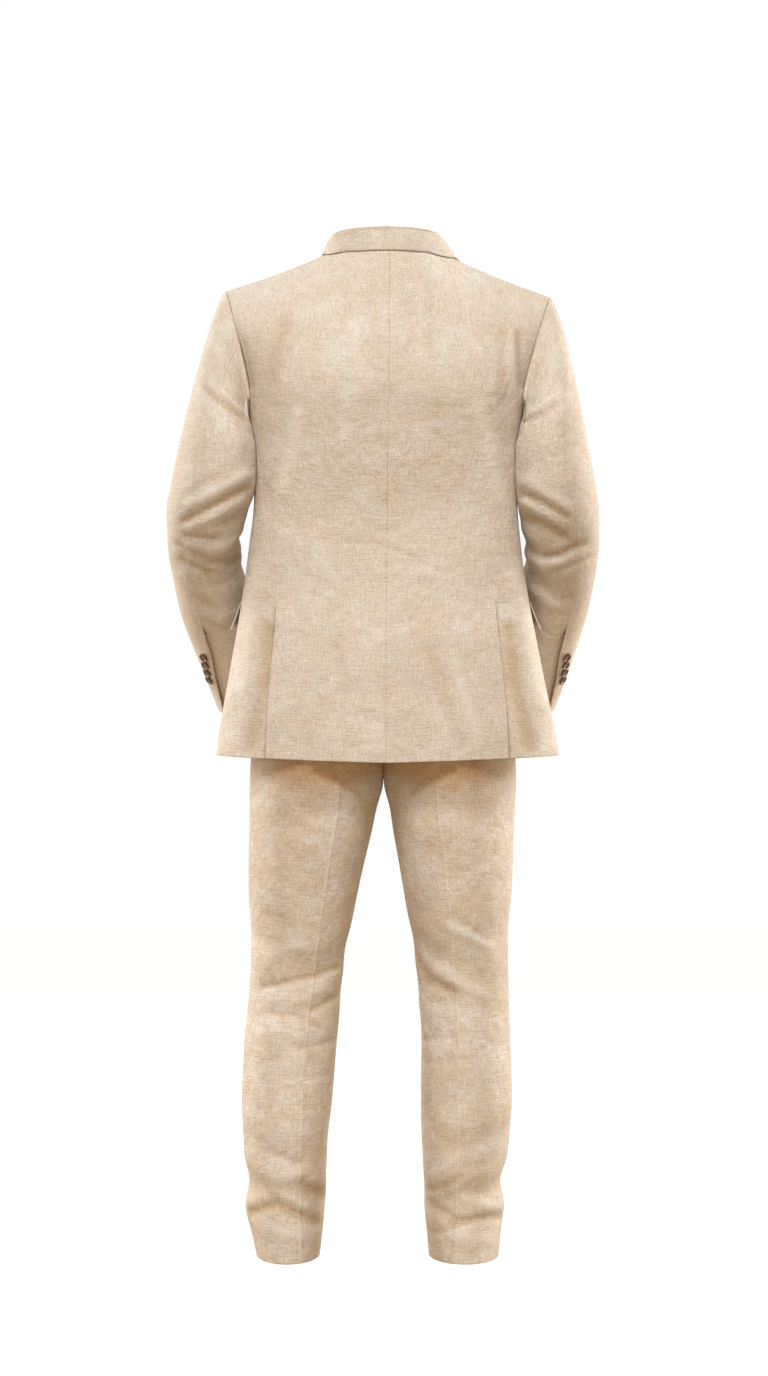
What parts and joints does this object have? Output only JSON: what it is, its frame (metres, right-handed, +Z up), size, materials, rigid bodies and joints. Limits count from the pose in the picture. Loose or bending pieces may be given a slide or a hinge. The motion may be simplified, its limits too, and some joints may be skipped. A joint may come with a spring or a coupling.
{
  "type": "western suit",
  "caption": "Worn two-piece suit in pale beige linen-look cloth: side-vented jacket and creased trousers, modelled hollow.",
  "frame": {"origin": "base of the neck between the shoulders, where the wearer's shoulders carry the jacket", "axes": "+Z up, -Y the front of the garment, +X the wearer's left"},
  "size_m": [0.6497, 0.3785, 1.5309],
  "materials": {
    "jacket_cloth": "matte",
    "trouser_cloth": "matte",
    "button": "gloss"
  },
  "bodies": {
    "root": {"jacket_back_left": "jacket_cloth", "jacket_side_left": "jacket_cloth", "jacket_front_left": "jacket_cloth", "lapel_left": "jacket_cloth", "pocket_flap_left": "jacket_cloth", "sleeve_top_left": "jacket_cloth", "sleeve_under_left": "jacket_cloth", "trouser_back_left": "trouser_cloth", "trouser_front_left": "trouser_cloth", "waistband_left": "trouser_cloth", "fly": "trouser_cloth", "jacket_back_right": "jacket_cloth", "jacket_side_right": "jacket_cloth", "jacket_front_right": "jacket_cloth", "lapel_right": "jacket_cloth", "pocket_flap_right": "jacket_cloth", "sleeve_top_right": "jacket_cloth", "sleeve_under_right": "jacket_cloth", "trouser_back_right": "trouser_cloth", "trouser_front_right": "trouser_cloth", "waistband_right": "trouser_cloth", "collar": "jacket_cloth", "front_button_1": "button", "front_button_2": "button", "cuff_button_left_1": "button", "cuff_button_left_2": "button", "cuff_button_left_3": "button", "cuff_button_left_4": "button", "cuff_button_right_1": "button", "cuff_button_right_2": "button", "cuff_button_right_3": "button", "cuff_button_right_4": "button", "waist_button": "button"}
  },
  "joints": []
}
